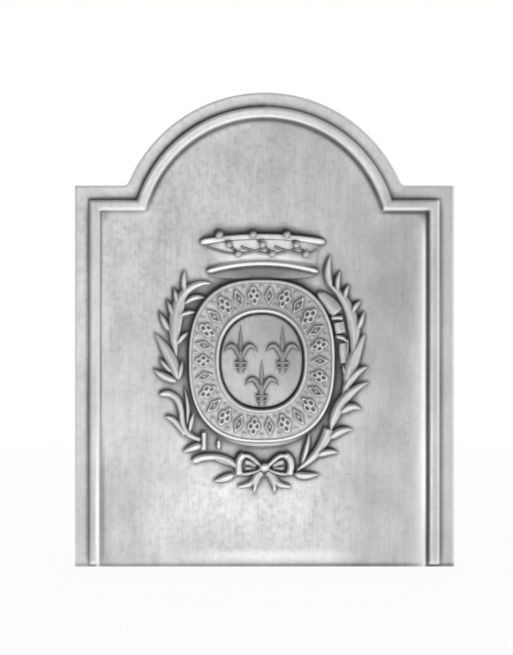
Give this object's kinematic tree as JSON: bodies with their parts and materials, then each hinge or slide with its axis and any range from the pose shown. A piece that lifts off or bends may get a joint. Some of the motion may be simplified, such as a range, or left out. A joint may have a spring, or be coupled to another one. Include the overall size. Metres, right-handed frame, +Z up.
{
  "type": "fireback",
  "caption": "Arched cast-iron fireback with a moulded border, a wreath, an oval medallion and a coronet in relief, standing on screwed-on rear feet.",
  "frame": {"origin": "middle of the plate's bottom edge, on its bottom face, half way through its thickness", "axes": "+X to the right as one looks at the front, +Z up, the decorated front faces -Y and the feet reach towards +Y"},
  "size_m": [0.4, 0.141, 0.5],
  "materials": {
    "polished_iron": "cast iron, brushed and stove-polished bright, dark in the recesses",
    "cast_iron": "as cast, matt dark grey",
    "bolt_steel": "plain turned steel"
  },
  "bodies": {
    "root": {"back_plate": "polished_iron", "border_arch": "polished_iron", "border_left": "polished_iron", "border_left_shoulder": "polished_iron", "border_right": "polished_iron", "border_right_shoulder": "polished_iron", "bow_knot": "polished_iron", "bow_loop_left": "polished_iron", "bow_loop_right": "polished_iron", "bow_tail_left": "polished_iron", "bow_tail_right": "polished_iron", "coronet_base_ring": "polished_iron", "coronet_circlet": "polished_iron", "coronet_lining": "polished_iron", "coronet_top_rim": "polished_iron", "fleur_de_lis_left": "polished_iron", "fleur_de_lis_lower": "polished_iron", "fleur_de_lis_right": "polished_iron", "foot_bolt_left_inner": "bolt_steel", "foot_bolt_left_outer": "bolt_steel", "foot_bolt_right_inner": "bolt_steel", "foot_bolt_right_outer": "bolt_steel", "foot_washer_left_inner": "bolt_steel", "foot_washer_left_outer": "bolt_steel", "foot_washer_right_inner": "bolt_steel", "foot_washer_right_outer": "bolt_steel", "medallion_band": "polished_iron", "medallion_dome": "polished_iron", "pearl_string_left": "polished_iron", "pearl_string_middle": "polished_iron", "pearl_string_right": "polished_iron", "rear_foot_left": "cast_iron", "rear_foot_right": "cast_iron", "wreath_branch_left": "polished_iron", "wreath_branch_right": "polished_iron"}
  },
  "joints": []
}
